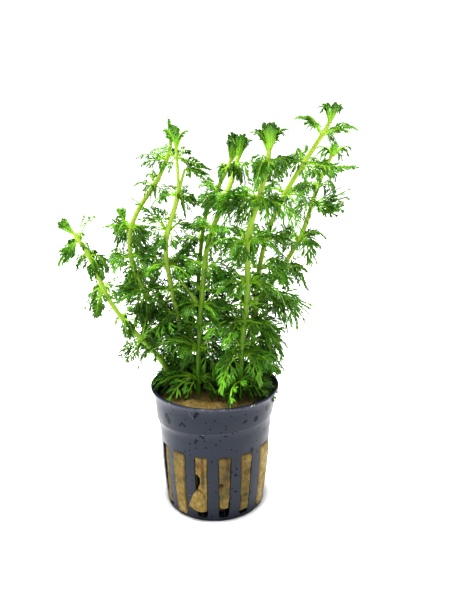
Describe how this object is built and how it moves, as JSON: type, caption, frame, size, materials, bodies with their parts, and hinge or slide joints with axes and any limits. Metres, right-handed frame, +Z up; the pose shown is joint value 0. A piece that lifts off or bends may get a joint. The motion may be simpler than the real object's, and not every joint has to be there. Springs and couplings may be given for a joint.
{
  "type": "potted limnophila heterophylla",
  "caption": "Bunch of feathery green aquarium stem plants rooted in rock wool, standing in a small dark slotted plastic pot.",
  "frame": {"origin": "centre of the underside of the pot, on the surface it stands on", "axes": "+Z up along the pot's axis; -Y is the front, as pictured; +X to the right seen from the front"},
  "size_m": [0.116, 0.0657, 0.1571],
  "materials": {
    "pot_plastic": "dark slate grey moulded plastic, satin, wet",
    "rock_wool": "wet ochre brown mineral fibre, matt",
    "stem_green": "smooth wet yellow green plant stem, slightly glossy",
    "leaf_green": "fine cut wet green leaves with small bright highlights"
  },
  "bodies": {
    "root": {"pot": "pot_plastic", "rock_wool": "rock_wool", "stem_1": "stem_green", "stem_1_leaf_whorl_1": "leaf_green", "stem_1_leaf_whorl_2": "leaf_green", "stem_1_leaf_whorl_3": "leaf_green", "stem_1_leaf_whorl_4": "leaf_green", "stem_1_leaf_whorl_5": "leaf_green", "stem_2": "stem_green", "stem_2_leaf_whorl_1": "leaf_green", "stem_2_leaf_whorl_2": "leaf_green", "stem_3": "stem_green", "stem_3_leaf_whorl_1": "leaf_green", "stem_3_leaf_whorl_2": "leaf_green", "stem_3_leaf_whorl_3": "leaf_green", "stem_3_leaf_whorl_4": "leaf_green", "stem_3_leaf_whorl_5": "leaf_green", "stem_3_leaf_whorl_6": "leaf_green", "stem_4": "stem_green", "stem_4_leaf_whorl_1": "leaf_green", "stem_4_leaf_whorl_2": "leaf_green", "stem_4_leaf_whorl_3": "leaf_green", "stem_4_leaf_whorl_4": "leaf_green", "stem_4_leaf_whorl_5": "leaf_green", "stem_4_leaf_whorl_6": "leaf_green", "stem_5": "stem_green", "stem_5_leaf_whorl_1": "leaf_green", "stem_5_leaf_whorl_2": "leaf_green", "stem_5_leaf_whorl_3": "leaf_green", "stem_5_leaf_whorl_4": "leaf_green", "stem_6": "stem_green", "stem_6_leaf_whorl_1": "leaf_green", "stem_6_leaf_whorl_2": "leaf_green", "stem_6_leaf_whorl_3": "leaf_green", "stem_6_leaf_whorl_4": "leaf_green", "stem_6_leaf_whorl_5": "leaf_green", "stem_6_leaf_whorl_6": "leaf_green", "stem_6_leaf_whorl_7": "leaf_green", "stem_7": "stem_green", "stem_7_leaf_whorl_1": "leaf_green", "stem_7_leaf_whorl_2": "leaf_green", "stem_7_leaf_whorl_3": "leaf_green", "stem_7_leaf_whorl_4": "leaf_green", "stem_7_leaf_whorl_5": "leaf_green", "stem_7_leaf_whorl_6": "leaf_green", "stem_7_leaf_whorl_7": "leaf_green", "stem_8": "stem_green", "stem_8_leaf_whorl_1": "leaf_green", "stem_8_leaf_whorl_2": "leaf_green", "stem_8_leaf_whorl_3": "leaf_green", "stem_8_leaf_whorl_4": "leaf_green", "stem_8_leaf_whorl_5": "leaf_green", "stem_8_leaf_whorl_6": "leaf_green", "stem_9": "stem_green", "stem_9_leaf_whorl_1": "leaf_green", "stem_9_leaf_whorl_2": "leaf_green", "stem_9_leaf_whorl_3": "leaf_green", "stem_9_leaf_whorl_4": "leaf_green", "stem_9_leaf_whorl_5": "leaf_green", "stem_9_leaf_whorl_6": "leaf_green"}
  },
  "joints": []
}
